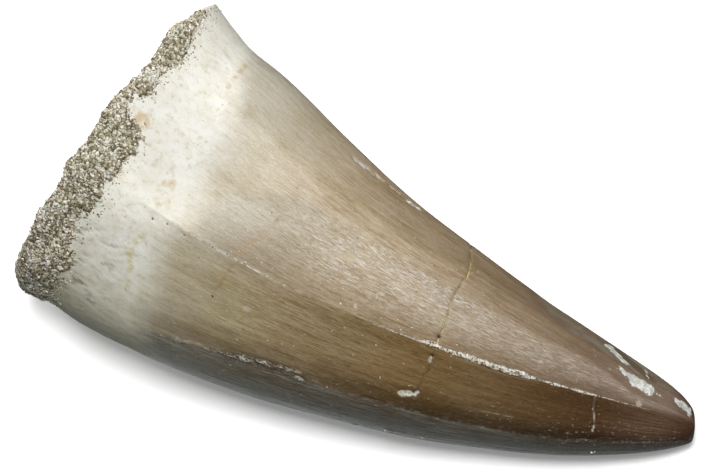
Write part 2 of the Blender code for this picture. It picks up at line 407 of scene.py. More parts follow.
OCHRE_SPOTS = (
    ((-23, -2.8, 30), 0.55), ((-22.6, -3.2, 30.1), 0.75), ((-22.3, -3.5, 30), 0.6),
    ((-18.3, -5.8, 28), 0.3), ((-17.9, -7, 27.5), 0.4), ((-18.6, -7.2, 27.6), 0.35),
    ((-18.7, -9.9, 26.3), 0.3), ((-18.5, -9, 26.8), 0.2),
)
PALE_GRAINS = (
    ((-23.4, 0.9, 31.3), 0.7), ((-23.5, 6.1, 30.7), 0.8), ((-23.6, -7.1, 29.2), 0.6),
    ((-27.7, -12.3, 24.3), 0.6), ((-26.2, -15.1, 20.1), 0.7), ((-28.5, -15.8, 18.4), 0.6),
    ((-30.5, -15.2, 18.5), 0.5),
)
ROOT_SHOWING = (((-25.2, -12, 24.6), (-24.2, -13.6, 22.6), 0.42),)


def from_streak(points, start, end):
    """Distance of each point from the straight line between two places."""
    start, end = np.array(start), np.array(end)
    line = end - start
    share = np.clip(((points - start) @ line) / max(1e-9, line @ line), 0, 1)
    return lengths(points - start - scaled(line, share))


def from_path(points, path):
    near = [from_streak(points, start, end) for start, end in zip(path, path[1:])]
    return np.minimum.reduce(near)


def inside(points, streaks):
    """How far inside the nearest streak each point is, in mm; outside is negative."""
    return np.maximum.reduce([r - from_streak(points, a, b) for a, b, r in streaks])


def in_spots(points, spots):
    """How far inside the nearest spot each point is, in mm; outside is negative."""
    return np.maximum.reduce([r - lengths(points - np.array(p)) for p, r in spots])


def table(stops, value):
    keys, values = zip(*stops)
    return np.interp(value, keys, values)


# ------------ the tooth
TOOTH_COLUMNS, TOOTH_ROWS = 330, 285
FIRST_ROW = 1  # mm along, where the rows start to run from the root's edge
ALIGNED_FROM = 14  # mm along, from where the rows lie straight across
LAST_ROW_SHARE = 0.99985
SEEN_SIDE = (-122, -104, 106, 124)  # degrees of turn that the photo shows, with soft ends
BARE_SIDE = (-118, -104, -48, -38)  # degrees at the root where no rock covers its edge
BARE_START = -0.9  # mm along, where the tooth starts there
COVERED = 1.6  # mm that the tooth runs on under the rock elsewhere
GRAIN_LENGTH = 60  # mm along the tooth for one unit of the grain's third direction
CRACK_UNIT = 0.08  # mm, the half width that the cracks' colours are written for
SCALY_LENGTHS = (18, 22, 27, 29)  # mm along, with soft ends
CREASED_SIDE = (42, 50, 80, 95)  # degrees, with soft ends
# How wide each hidden ring is, and how many mm further along than the first row
HIDDEN_RINGS = ((0.2, 7), (0.6, 6), (0.93, 3.5), (0.95, 0.8), (0.975, 0.05))
HIDDEN_POINT = 8  # mm along, the middle of the hidden end


def column_density(turn):
    degrees = np.degrees(wrapped(turn, 2 * math.pi))
    return 0.32 + 0.68 * between(degrees, *SEEN_SIDE) + 2.6 * np.exp(-((degrees / 4.5) ** 2))


def row_density(length):
    near_crack = sum(np.exp(-(((length - c[0][2][1]) / 0.5) ** 2)) for c in CRACKS)
    towards_tip = 0.25 / np.sqrt(np.clip(1 - length / ARC_LENGTH, 0.0004, None))
    return 1 + 1.6 * near_crack + towards_tip


def tooth_rows():
    """The turn and the length of every place in the tooth's rows."""
    turn = spaced(-math.pi, math.pi, TOOTH_COLUMNS + 1, column_density)[:-1]
    nominal = spaced(FIRST_ROW, ARC_LENGTH * LAST_ROW_SHARE, TOOTH_ROWS, row_density)[:, None]
    edge = matrix_edge(turn)
    start = np.maximum(0.5 * edge, edge - COVERED) + 0.1
    start = start + (BARE_START - start) * between(wrapped(on_root(turn), 360), *BARE_SIDE)
    share = np.clip((nominal - FIRST_ROW) / (ALIGNED_FROM - FIRST_ROW), 0, 1)
    slanted = start + share * (ALIGNED_FROM - start)
    length = np.where(nominal < ALIGNED_FROM, slanted, nominal)
    return np.broadcast_to(turn, length.shape), length


def soft_relief(point, grain, t, crown):
    """Soft swellings, lengthwise flutes, and the step where the enamel begins."""
    height = SWELL_HEIGHT * (1 - smooth_step(0.8, 1.0, t)) * soft_noise(point, SWELL_SIZE)
    height += 0.035 * crown * soft_noise(grain * (14, 14, 3), 1)
    height += 0.02 * crown * soft_noise(grain * (38, 38, 7) + 7, 1)
    pitted = 0.05 * soft_noise(point, 1.9) + 0.03 * soft_noise(point + 40, 0.7)
    return height + 0.07 * crown - 0.05 + (1 - crown) * pitted


# Each of these gives how far its marks stand out from the skin, and their fields
def crest_marks(base, length, ridge):
    """The ridge's crest, white where it is chipped and with a painted highlight where it is
    smooth, and a ledge along its lower side that is painted dark as shadow.
    """
    width = table(CREST, length)
    rough = soft_noise(base, 0.5) + 0.6 * soft_noise(base + 30, 0.24)
    waver = 0.11 * soft_noise(base + 60, 1.3) + 0.07 * soft_noise(base + 90, 0.4)
    chipped = smooth_step(0.08, 0.2, width)
    across = ridge - 0.05 + waver * (0.3 + chipped)
    ragged = width * (1 + 0.55 * rough)
    crest = smooth_step(0.04, -0.04, np.abs(across) - ragged) * (width > 0.001)
    # The ledge dips under the chipped crest, and its field paints its shadow dark
    ledge = smooth_step(0.1, 0.0, np.abs(across - ragged - 0.06)) * chipped
    relief = -0.12 * crest * chipped * smooth_step(-0.5, 0.6, rough) - 0.1 * ledge
    relief -= 0.04 * crest * (1 - chipped) * smooth_step(0.0, 0.5, rough)
    return relief, {"crest": crest, "ledge": ledge}


def crack_marks(length, degrees, angle):
    """The cracks right across the crown."""
    relief, crack = 0, np.full(length.shape, 5.0)
    for stops, half in CRACKS:
        wander = 0.1 * soft_noise(np.stack((angle * 30, angle * 0, angle * 0 + half), -1), 1)
        off = np.abs(length - table(stops, degrees) - wander)
        past_ends = np.maximum(stops[0][0] - degrees, degrees - stops[-1][0])
        off = np.hypot(off, np.maximum(past_ends, 0) * 0.1)
        crack = np.minimum(crack, off * CRACK_UNIT / half)
        relief = relief - 0.08 * np.exp(-((off / (half + 0.05)) ** 2))
    return relief, {"crack": crack}


def spot_marks(base, point):
    """White mineral and bare dentine at the tip, chips, pits that are painted dark as shade, and
    pale spots.
    """
    mineral = inside(point, WHITE_STREAKS)
    mineral += 0.26 * soft_noise(point, 0.7) + 0.16 * soft_noise(point, 0.28)
    chip = inside(point, CHIPS) + 0.14 * soft_noise(point, 0.45) + 0.06 * soft_noise(point, 0.2)
    relief = 0.07 * smooth_step(-0.05, 0.12, mineral) - 0.14 * smooth_step(-0.02, 0.12, chip)
    hole = np.zeros(chip.shape)
    for place, radius, depth in PITS:
        pit = np.exp(-((lengths(point - np.array(place)) / radius) ** 2))
        relief -= depth * pit
        hole = np.maximum(hole, pit)
    bare_end = inside(base, BARE_END) + 0.35 * soft_noise(base + 9, 0.9)
    pale = in_spots(point, PALE_SPOTS)
    fields = {"mineral": mineral, "chip": chip, "hole": hole, "pale": pale, "bare_end": bare_end}
    return relief, fields


def low_edge_marks(base, length, degrees, width):
    """The lower facet's edge, chipped and scaly where the enamel has come off."""
    below_edge = degrees - table(LOW_EDGE, length)
    off = np.radians(below_edge) * width
    scaly = np.exp(-((off - 0.35) ** 2) / 0.7) * between(length, *SCALY_LENGTHS)
    picked = soft_noise(base * (0.45, 1, 1), 0.4) + 0.5 * soft_noise(base + 12, 0.22)
    flake = np.exp(-((off / 0.3) ** 2)) * smooth_step(0.0, 0.3, picked)
    flake = flake * smooth_step(15, 18, length) * (1 - smooth_step(28, 30, length) * 0.8)
    relief = -0.07 * flake - 0.1 * scaly * smooth_step(-0.2, 0.5, picked)
    for place, start, end, half in FLECKS:
        aside = np.radians(degrees - place) * width
        beyond = np.maximum(np.maximum(start - length, length - end), 0)
        lift = smooth_step(0.06, -0.06, np.hypot(aside, beyond) - half - 0.12 * picked)
        flake = np.maximum(flake, lift)
        relief += 0.05 * lift
    return relief, {"below_edge": below_edge, "scaly": scaly, "flake": flake}


def crease_marks(length, degrees):
    """Creases low on the root, running along it."""
    aslant = (degrees / 1.7 + length * 0.9, length * 0.6 - degrees / 16, length * 0)
    creased = between(degrees, *CREASED_SIDE) * smooth_step(10.5, 8, length)
    crease = creased * smooth_step(0.12, 0.4, soft_noise(np.stack(aslant, -1), 1))
    return -0.05 * crease, {"crease": crease}


def far_marks(base):
    """The chipped far edge of the upper face."""
    ragged = 0.3 * soft_noise(base + 5, 0.6) + 0.15 * soft_noise(base + 5, 0.25)
    far = smooth_step(-0.05, 0.2, inside(base, FAR_CHIPS) + ragged)
    return -0.16 * far, {"far": far}


def make_tooth():
    turn, length = tooth_rows()
    t, angle = length / ARC_LENGTH, turn + ridge_angle(length / ARC_LENGTH)
    degrees, width = wrapped(np.degrees(angle), 360), half_width(t)
    out, base = outward(turn, t), skin(turn, t)
    grain = np.stack((np.cos(angle), np.sin(angle), length / GRAIN_LENGTH), -1)
    enamel, ridge = length - table(ENAMEL_LINE, degrees), turn * width
    crown = smooth_step(-0.2, 1.6, enamel)
    point, taken = worn(base + scaled(out, soft_relief(base, grain, t, crown)))
    wear = smooth_step(0.02, 0.2, taken[0]) + smooth_step(0.25, 0.8, taken[1])
    wear = np.clip(wear, 0, 1)

    # Where a place is between the fold above the ridge, at 0, and the ridge, at 1
    fold = table(BAND_TOP, length)
    facet = (degrees - fold) / (np.degrees(ridge_angle(t)) - fold)
    lines = np.minimum(from_path(base, OCHRE_LINE) + 0.02, from_path(base, YELLOW_LINE) - 0.08)
    fields = {
        "along": length, "enamel": enamel, "ridge": ridge, "degrees": degrees, "grain": grain,
        "facet": facet, "wear": wear, "stain": from_path(base, STAIN_LINE),
        "thread": from_path(base, PALE_THREAD),
        "ochre": np.minimum(lines, 0.25 - in_spots(base, OCHRE_SPOTS)),
    }
    relief = wear * 0.04 * soft_noise(point, 0.6)
    for more, marks in (
        crest_marks(base, length, ridge), crack_marks(length, degrees, angle),
        spot_marks(base, point), low_edge_marks(base, length, degrees, width),
        crease_marks(length, degrees), far_marks(base),
    ):
        relief = relief + more
        fields.update(marks)
    point = point + scaled(out, relief)
    point[..., 2] = np.maximum(0, point[..., 2])

    # The hidden end turns in under the rock, like the wall of a hollow root
    inner = []
    for share, deeper in HIDDEN_RINGS:
        t = (length[:1] + deeper) / ARC_LENGTH
        centre = tooth_line(t)[0]
        inner.append(centre + (skin(turn[:1], t) - centre) * share)
    rows = np.concatenate(inner + [point])
    for name, values in fields.items():
        fields[name] = np.concatenate([values[:1]] * len(inner) + [values])
    first = tooth_line(np.array(HIDDEN_POINT / ARC_LENGTH))[0]
    last = worn(tooth_line(np.array(1.0))[0][None])[0][0]
    return closed_sheet("crown_and_root", rows, first, last, fields)


# ------------ the rock
ROCK_COLUMNS = 620
BACK_ROWS = 46
RIM_ROWS = 66
FRONT_SET_BACK = 0.3  # mm from the solid's front edge to where the lumps have died away
FRONT_SPARE = 1.1  # mm that the rock's sheet runs on under the root's skin
SUNK = 0.28  # mm that it lies under the skin there
CLOSING_AT = 6  # mm along, the middle of the sheet's hidden end
GRAIN_CELL = 0.34
COARSE_CELL = 0.95


def rock_density(turn):
    return 0.45 + 0.55 * between(np.degrees(wrapped(turn, 2 * math.pi)), *SEEN_SIDE)


def crust_depth(points, turn, length):
    """How far inside the rock's ragged front edge a place is, in mm."""
    depth = table(CRUST_EDGE, wrapped(on_root(turn), 360)) - length
    depth = depth + 0.22 * soft_noise(points, 0.9) + 0.25 * soft_noise(points, 0.4)
    bare = inside(points, ROOT_SHOWING) + 0.12 * soft_noise(points, 0.6)
    return np.minimum(depth, -bare * 2)


def rock_height(point, along, depth, swell):
    """How far the rock stands out from its even shape, and sinks past its edge."""
    lump = LUMP_HEIGHT * soft_noise(point, LUMP_SIZE) + GRIT_HEIGHT * soft_noise(point, GRIT_SIZE)
    calm = 1 - smooth_step(0.6, 1, along)
    full = CRUST_HEIGHT * smooth_step(0, 0.3, along) + swell
    full = full + lump * (CALM_SHARE + (1 - CALM_SHARE) * calm)
    grit = 0.08 * (0.45 - cell_noise(point, GRAIN_CELL))
    grit = grit + 0.2 * (0.5 - cell_noise(point + 17, COARSE_CELL))
    grit = grit + 0.13 * soft_noise(point, 0.6)
    on = smooth_step(-0.1, 0.8, depth)
    return (full + grit) * on + (swell - SUNK) * (1 - on)


def make_rock():
    """The rock's piece, and its sheet of places for the grains.

    The sheet is: how deep inside the rock's edge each place is, the place, the way
    out from it, and the place on the root's skin where a stray grain would lie.
    """
    turn = spaced(-math.pi, math.pi, ROCK_COLUMNS + 1, rock_density)[:-1][None]
    back_share = np.sqrt(np.linspace(0.0009, 0.93, BACK_ROWS))[:, None]
    rim = np.linspace(0, 1, RIM_ROWS)[:, None]
    share = np.concatenate((back_share, np.ones_like(rim)))
    skew = np.cos(np.radians(on_root(turn) - BACK_SKEW_ANGLE))
    back = BACK_SET + BACK_SKEW * share * skew - rim_lumps(turn) * smooth_step(0.6, 1, share)
    edge = matrix_edge(turn)
    spread = np.concatenate((np.zeros_like(back_share), rim))
    length = back + (edge + FRONT_SPARE - back) * spread
    along = np.clip((length - back) / (edge - FRONT_SET_BACK - back), 0, 1)
    turn = np.broadcast_to(turn, length.shape)
    t = length / ARC_LENGTH
    centre, towards_tip, _, _ = tooth_line(t)
    on_skin = skin(turn, t)
    point = centre + scaled(on_skin - centre, share * (1 - RIM_ROUNDING * (1 - along) ** 4))
    way = scaled(outward(turn, t), share**3) - scaled(towards_tip, 1 - along)
    way = way / lengths(way)[..., None]
    depth = crust_depth(point, turn, length)
    swell = SWELL_HEIGHT * soft_noise(on_skin, SWELL_SIZE) * along
    point, _ = worn(point + scaled(way, rock_height(point, along, depth, swell)))
    first = point[0].mean(0)
    last = tooth_line(np.array(CLOSING_AT / ARC_LENGTH))[0]
    inner = point[-1:] + (last - point[-1:]) * 0.03
    pale = in_spots(point, PALE_GRAINS)
    fields = {"pale": np.concatenate((pale, pale[-1:]))}
    rock = closed_sheet("rock_cap", np.concatenate((point, inner)), first, last, fields)
    lying = on_skin + scaled(outward(turn, t), swell - 0.04)
    return rock, (depth, point, way, lying)


# ------------ the grains
GRAIN_SIZE, GRAIN_SPREAD, GRAIN_LIMITS = 0.125, 0.32, (0.07, 0.28)
GRAIN_JITTER = 0.05
CRUMB_SIZES = (0.06, 0.13)
STRAYS = 690  # grains on the root just past the rock's edge
STRAY_SIZES = (0.05, 0.13)
STRAY_REACH = 1.3  # mm past the edge that they lie at most
STRAY_FADE = 0.35  # mm past the edge over which they grow rarer
EDGE_DEPTH = 0.05  # mm inside the ragged edge, where the close-set grains end
GOLDEN = (1 + math.sqrt(5)) / 2
BALL_CORNERS = (
    (-1, GOLDEN, 0), (1, GOLDEN, 0), (-1, -GOLDEN, 0), (1, -GOLDEN, 0),
    (0, -1, GOLDEN), (0, 1, GOLDEN), (0, -1, -GOLDEN), (0, 1, -GOLDEN),
    (GOLDEN, 0, -1), (GOLDEN, 0, 1), (-GOLDEN, 0, -1), (-GOLDEN, 0, 1),
)
BALL_FACES = (
    (0, 11, 5), (0, 5, 1), (0, 1, 7), (0, 7, 10), (0, 10, 11),
    (1, 5, 9), (5, 11, 4), (11, 10, 2), (10, 7, 6), (7, 1, 8),
    (3, 9, 4), (3, 4, 2), (3, 2, 6), (3, 6, 8), (3, 8, 9),
    (4, 9, 5), (2, 4, 11), (6, 2, 10), (8, 6, 7), (9, 8, 1),
)


def scatter_grains(name, seed, points, outwards, sizes):
    """Many small angular grains in one mesh, half sunk where the points are."""
    rng = np.random.default_rng(seed)
    ball = np.array(BALL_CORNERS, float)
    ball = ball / lengths(ball)[:, None]
    faces = np.array(BALL_FACES)
    count, corner_count = len(points), len(ball)
    turns, _ = np.linalg.qr(rng.normal(size=(count, 3, 3)))
    shape = sizes[:, None] * rng.uniform(0.75, 1.2, (count, 3))
    corners = ball[None] * (1 + rng.uniform(-0.16, 0.16, (count, corner_count, 1)))
    corners = (corners * shape[:, None]) @ turns
    corners = corners + (points - outwards * sizes[:, None] * 0.25)[:, None]
    corners[..., 2] = np.maximum(0, corners[..., 2])
    everything = faces[None] + corner_count * np.arange(count)[:, None, None]
    # qr gives mirrored frames too, which would turn those grains inside out
    mirrored = np.linalg.det(turns) < 0
    everything[mirrored] = everything[mirrored][..., ::-1]
    mesh = bpy.data.meshes.new(name)
    triangles = everything.reshape(-1, 3).tolist()
    mesh.from_pydata((corners.reshape(-1, 3) * MM).tolist(), [], triangles)
    for field in ("kind", "tint"):
        add_field(mesh, field, np.repeat(rng.uniform(0, 1, count), corner_count)[:, None])
    return placed(name, mesh)


def sheet_area(points):
    """About the area that each of a sheet's points stands for."""
    down = lengths(np.gradient(points, axis=0))
    across = lengths(points - np.roll(points, 1, axis=1))
    return down * across


def picked_at(rng, where, weight, count):
    """Rows and columns of random places, likelier where the weight is greater."""
    rows, columns = np.nonzero(where)
    share = weight[rows, columns]
    chosen = rng.choice(len(rows), count, replace=False, p=share / share.sum())
    return rows[chosen], columns[chosen]


def make_grains(sheet):
    """Grains over the rock's rim, with the crumbs and strays, and over its back."""
    depth, point, way, lying = sheet
    area = sheet_area(point)
    rng = np.random.default_rng(5)
    on_rim = np.indices(depth.shape)[0] >= BACK_ROWS
    made = []
    for name, seed, where, count in (
        ("rim_grains", 11, on_rim & (depth > EDGE_DEPTH), 9250),
        ("back_grains", 12, ~on_rim, 9950),
    ):
        at = picked_at(rng, where, area, count)
        sizes = np.exp(rng.normal(math.log(GRAIN_SIZE), GRAIN_SPREAD, count)).clip(*GRAIN_LIMITS)
        jitter = rng.uniform(-GRAIN_JITTER, GRAIN_JITTER, (count, 3))
        groups = [(point[at] + jitter, way[at], sizes)]
        if name == "rim_grains":
            stuck = np.array([
                np.array(a) + (np.array(b) - np.array(a)) * share
                for a, b, _ in CRUMBS for share in (0, 0.3, 0.6, 1)
            ])
            stuck = stuck + rng.normal(0, 0.1, stuck.shape)
            facing = np.tile((0.0, -1.0, 0.0), (len(stuck), 1))
            groups.append((stuck, facing, rng.uniform(*CRUMB_SIZES, len(stuck))))
            past_edge = on_rim & (depth < EDGE_DEPTH) & (depth > -STRAY_REACH)
            at = picked_at(rng, past_edge, area * np.exp(depth / STRAY_FADE), STRAYS)
            groups.append((lying[at], way[at], rng.uniform(*STRAY_SIZES, STRAYS)))
        made.append(scatter_grains(name, seed, *map(np.concatenate, zip(*groups))))
    return made


# ------------ materials
# Colours are as seen on screen, from 0 to 255. Ramps start with a share from 0 to 1.
CROWN_TONES = (
    (0.10, (214, 210, 196)), (0.22, (206, 199, 180)), (0.36, (194, 180, 153)),
    (0.52, (182, 166, 138)), (0.68, (156, 138, 111)), (0.82, (130, 110, 88)),
    (0.93, (148, 130, 116)), (1.0, (108, 74, 60)),
)
# Painted sheen on the band between the fold and the ridge, along the tooth
PAINTED_SHEEN_TONES = (
    (0.2, (208, 203, 190)), (0.5, (226, 219, 208)),
    (0.8, (204, 190, 176)), (1.0, (176, 162, 150)),
)
ROCK_TONES = (
    (0.0, (92, 84, 66)), (0.18, (128, 118, 94)), (0.42, (166, 158, 134)),
    (0.66, (190, 184, 164)), (0.86, (216, 213, 200)), (1.0, (236, 234, 224)),
)
GRAIN_TONES = (
    (0.0, (86, 76, 58)), (0.2, (134, 122, 98)), (0.42, (180, 171, 148)),
    (0.66, (208, 203, 187)), (0.85, (222, 219, 208)), (1.0, (240, 238, 230)),
)
# Painted shade just above the ridge
OVER_RIDGE_SHADE = (197, 188, 171)  # just above the ridge
BELOW_TINT = (216, 207, 186)
TIP_TINT = (210, 190, 162)
# Painted shade on the low side
LOW_SIDE_SHADE = (162, 156, 152)
# How much painted reflection of the floor goes on below the low edge
FLOOR_REFLECTION_SHARE = 0.7
# How strongly the painted sheen goes on the band
SHEEN_SHARE = 0.76
ENAMEL_IOR = 1.5
QUARTZ_IOR = 1.54
SAND_CELLS = 2600.0  # cells a metre, so grains of about 0.4 mm


def linear(value):
    value /= 255
    return value / 12.92 if value <= 0.04045 else ((value + 0.055) / 1.055) ** 2.4


def tone(red, green, blue):
    """The colour that a socket needs, from its 0 to 255 values on screen."""
    return linear(red), linear(green), linear(blue), 1


class Finish:
    """A material, with short ways to add its nodes."""

    def __init__(self, name, **constants):
        self.material = bpy.data.materials.new(name)
        self.material.use_nodes = True
        self.tree = self.material.node_tree
        self.surface = self.tree.nodes["Principled BSDF"]
        for socket, value in constants.items():
            self.surface.inputs[socket.replace("_", " ")].default_value = value

    def feed(self, socket, value):
        if isinstance(value, bpy.types.NodeSocket):
            self.tree.links.new(value, socket)
        elif isinstance(value, tuple) and socket.type == "RGBA":
            socket.default_value = tone(*value)
        else:
            socket.default_value = value

    def node(self, kind, inputs=(), **settings):
        made = self.tree.nodes.new(kind)
        for name, value in settings.items():
            setattr(made, name, value)
        for socket, value in inputs:
            self.feed(made.inputs[socket], value)
        return made

    def number(self, name):
        return self.node("ShaderNodeAttribute", attribute_name=name).outputs["Fac"]

    def vector(self, name):
        return self.node("ShaderNodeAttribute", attribute_name=name).outputs["Vector"]

    def place(self):
        return self.node("ShaderNodeTexCoord").outputs["Object"]

    def stretched(self, vector, scale):
        return self.node("ShaderNodeMapping", (("Vector", vector), ("Scale", scale))).outputs[0]

    def calc(self, operation, first, second=0.0, clamp=False):
        inputs = ((0, first), (1, second))
        return self.node("ShaderNodeMath", inputs, operation=operation, use_clamp=clamp).outputs[0]

    def times(self, product, *factors):
        for factor in factors:
            product = self.calc("MULTIPLY", product, factor)
        return product

    def swing(self, value, amount):
        """A noise of 0 to 1 made into one that goes either way of nought."""
        return self.times(self.calc("SUBTRACT", value, 0.5), amount)

    def step(self, value, low, high, start=0.0, end=1.0):
        inputs = ((0, value), (1, low), (2, high), (3, start), (4, end))
        return self.node("ShaderNodeMapRange", inputs, interpolation_type="SMOOTHSTEP").outputs[0]

    def noise(self, vector, scale, detail=2.0, roughness=0.5, distortion=0.0):
        inputs = (
            ("Vector", vector), ("Scale", scale), ("Detail", detail),
            ("Roughness", roughness), ("Distortion", distortion),
        )
        return self.node("ShaderNodeTexNoise", inputs).outputs[0]

    def cells(self, vector, scale, feature="F1", output="Distance"):
        inputs = (("Vector", vector), ("Scale", scale))
        return self.node("ShaderNodeTexVoronoi", inputs, feature=feature).outputs[output]

    def mix(self, share, first, second, blend="MIX"):
        inputs = ((0, share), (6, first), (7, second))
        return self.node("ShaderNodeMix", inputs, data_type="RGBA", blend_type=blend).outputs[2]

    def tinted(self, share, colour, tint):
        return self.mix(share, colour, self.mix(1.0, colour, tint, "MULTIPLY"))

    def ramp(self, value, stops):
        made = self.node("ShaderNodeValToRGB", ((0, value),))
        set_stops(made.color_ramp, [(position, tone(*colour)) for position, colour in stops])
        return made.outputs[0]

    def bump(self, height, distance, strength=1.0, normal=None):
        inputs = [("Height", height), ("Distance", distance * MM), ("Strength", strength)]
        if normal is not None:
            inputs.append(("Normal", normal))
        return self.node("ShaderNodeBump", inputs).outputs[0]

    def coat(self, colour, roughness, normal):
        inputs = self.surface.inputs
        self.feed(inputs["Base Color"], colour)
        self.feed(inputs["Roughness"], roughness)
        self.feed(inputs["Normal"], normal)

    def wear(self, piece):
        piece.data.materials.clear()
        piece.data.materials.append(self.material)


def set_stops(colour_ramp, stops):
    points = colour_ramp.elements
    while len(points) < len(stops):
        points.new(0.5)
    for point, (position, colour) in zip(points, stops):
        point.position = position
        point.color = colour


# Noises drawn out along the tooth: scale three ways, detail, roughness, distortion
STREAKS = {
    "blur": ((3, 3, 3), 3), "wide": ((12, 12, 16), 3), "middle": ((30, 30, 11), 3),
    "blotch": ((5, 5, 9), 4, 0.6), "cloud": ((16, 16, 14), 4, 0.6),
    "fine": ((95, 95, 26), 3, 0.65), "lines": ((55, 55, 10), 4, 0.65),
    "hair": ((230, 230, 46), 2, 0.6), "grit": ((300, 300, 130), 3, 0.7),
    "veins": ((34, 34, 18), 4, 0.6, 1.2), "ripple": ((26, 26, 60), 4, 0.65, 0.6),
    "wrinkle": ((130, 130, 75), 3, 0.7, 0.8),
}
# Noises alike all ways: scale, detail, roughness
MOTTLES = {
    "olive": (260, 4, 0.6), "mottle": (420, 4, 0.6), "uneven": (700, 4, 0.6),
    "beads": (900, 2), "broken": (1300, 3), "patchy": (1500, 3, 0.6), "tiny": (1700, 4, 0.7),
    "dark": (1900, 1), "bright": (2900, 1), "dust": (3600, 2), "speck": (4200, 2, 0.7),
}
# A factor is a share, the name of a value, or that name with a soft step on it:
# its low and high end and, where they aren't 0 and 1, what it gives there.
ABOVE, BELOW = ("ridge", -0.05, 0.25, 1, 0), ("ridge", -0.05, 0.25)
GROWN = ("along", 12, 26, 0.35, 1)
# The band's painted sheen: where it lies, and its glinting flecks
SHEEN_BAND = (
    ("facet", -0.1, 0.14), ("facet", 0.98, 0.3, 0.12, 1), ABOVE, ("along", 12, 27),
    ("along", 63, 58), ("wide", 0.3, 0.6, 0.55, 1), ("wrinkle", 0.46, 0.57, 0.12, 1),
)
# A layer is how it goes on, its colour and its factors. A colour can be two, with
# the factor that goes from the first to the second.
CROWN_LAYERS = (
    # The upper face, above the ridge with painted shade, below it, towards the tip, and the low
    # side with painted shade and a painted reflection of the floor
    ("tint", (233, 231, 235), ("facet", 0.12, -0.12), ("along", 12, 40, 0.35, 1)),
    # Painted shade just above the ridge
    ("tint", OVER_RIDGE_SHADE, ABOVE, ("facet", 0.3, 0.95), ("along", 9, 18, 0.1, 1)),
    ("tint", BELOW_TINT, BELOW, ("along", 10, 34, 0.3, 1)),
    ("tint", TIP_TINT, BELOW, ("later", 38, 50)),
    ("tint", (241, 232, 214), BELOW, ("along", 30, 36), ("along", 44, 38)),
    # Painted shade on the low side
    ("tint", LOW_SIDE_SHADE, ("degrees", 50, 69), ("along", 12, 40, 0.3, 1)),
    ("mix", (132, 114, 108), BELOW, ("along", 53, 58, 0, 0.2), ("along", 63, 59.5)),
    # Painted reflection of the floor below the low edge
    ("mix", (146, 152, 150), ("below_edge", -1, 2.5), ("along", 58, 40, 0.3, 1),
     ("cloud", 0.3, 0.62, 0.35, 1), FLOOR_REFLECTION_SHARE),
    ("mix", (84, 84, 76), "vein", 0.55),
    ("tint", (204, 200, 192), ("lines", 0.44, 0.58, 0, 0.5), ("below_edge", -1, 2)),
    ("tint", (214, 206, 176), ("blotch", 0.42, 0.66, 0, 0.5)),
    ("mix", (186, 180, 136), ("degrees", 30, 44), ("degrees", 72, 58), ("along", 9, 13),
     ("along", 30, 20), ("olive", 0.42, 0.62, 0.1, 0.5)),
    # Short lengthwise streaks
    ("tint", (215, 198, 170), ("middle", 0.46, 0.64, 0, 0.35), GROWN),
    ("tint", (200, 176, 142), ("fine", 0.46, 0.62, 0, 0.6), GROWN),
    ("tint", (204, 188, 160), ("grit", 0.46, 0.66, 0, 0.6)),
    ("mix", (226, 218, 200), ("grit", 0.44, 0.3, 0, 0.22)),
    ("tint", (160, 128, 92), ("hair", 0.56, 0.7, 0, 0.75), GROWN, ("facet", 0.12, -0.12, 1, 0.5)),
    # The band between the fold and the ridge, painted with a pale sheen and glints, and its pale
    # start
    ("tint", (237, 240, 246), ("facet", -0.1, 0.1), ABOVE, ("along", 12, 15), ("along", 27, 20)),
    ("mix", "silver", "flecks", SHEEN_SHARE),
)
ROOT_CREAM = (232, 231, 221)
ROOT_LAYERS = (
    ("mix", (220, 216, 200), ("mottle", 0.4, 0.66, 0, 0.6)),
    ("tint", (222, 214, 190), ("ripple", 0.45, 0.7, 0, 0.35)),
    # Painted shade with a grey-green tone on the root's low side
    ("tint", (232, 232, 214), ("degrees", 45, 100, 0, 0.9)),
    ("mix", (120, 114, 90), "crease", ("broken", 0.3, 0.6, 0.2, 1), 0.65),
    ("tint", (214, 204, 176), ("tiny", 0.52, 0.7, 0, 0.55)),
)
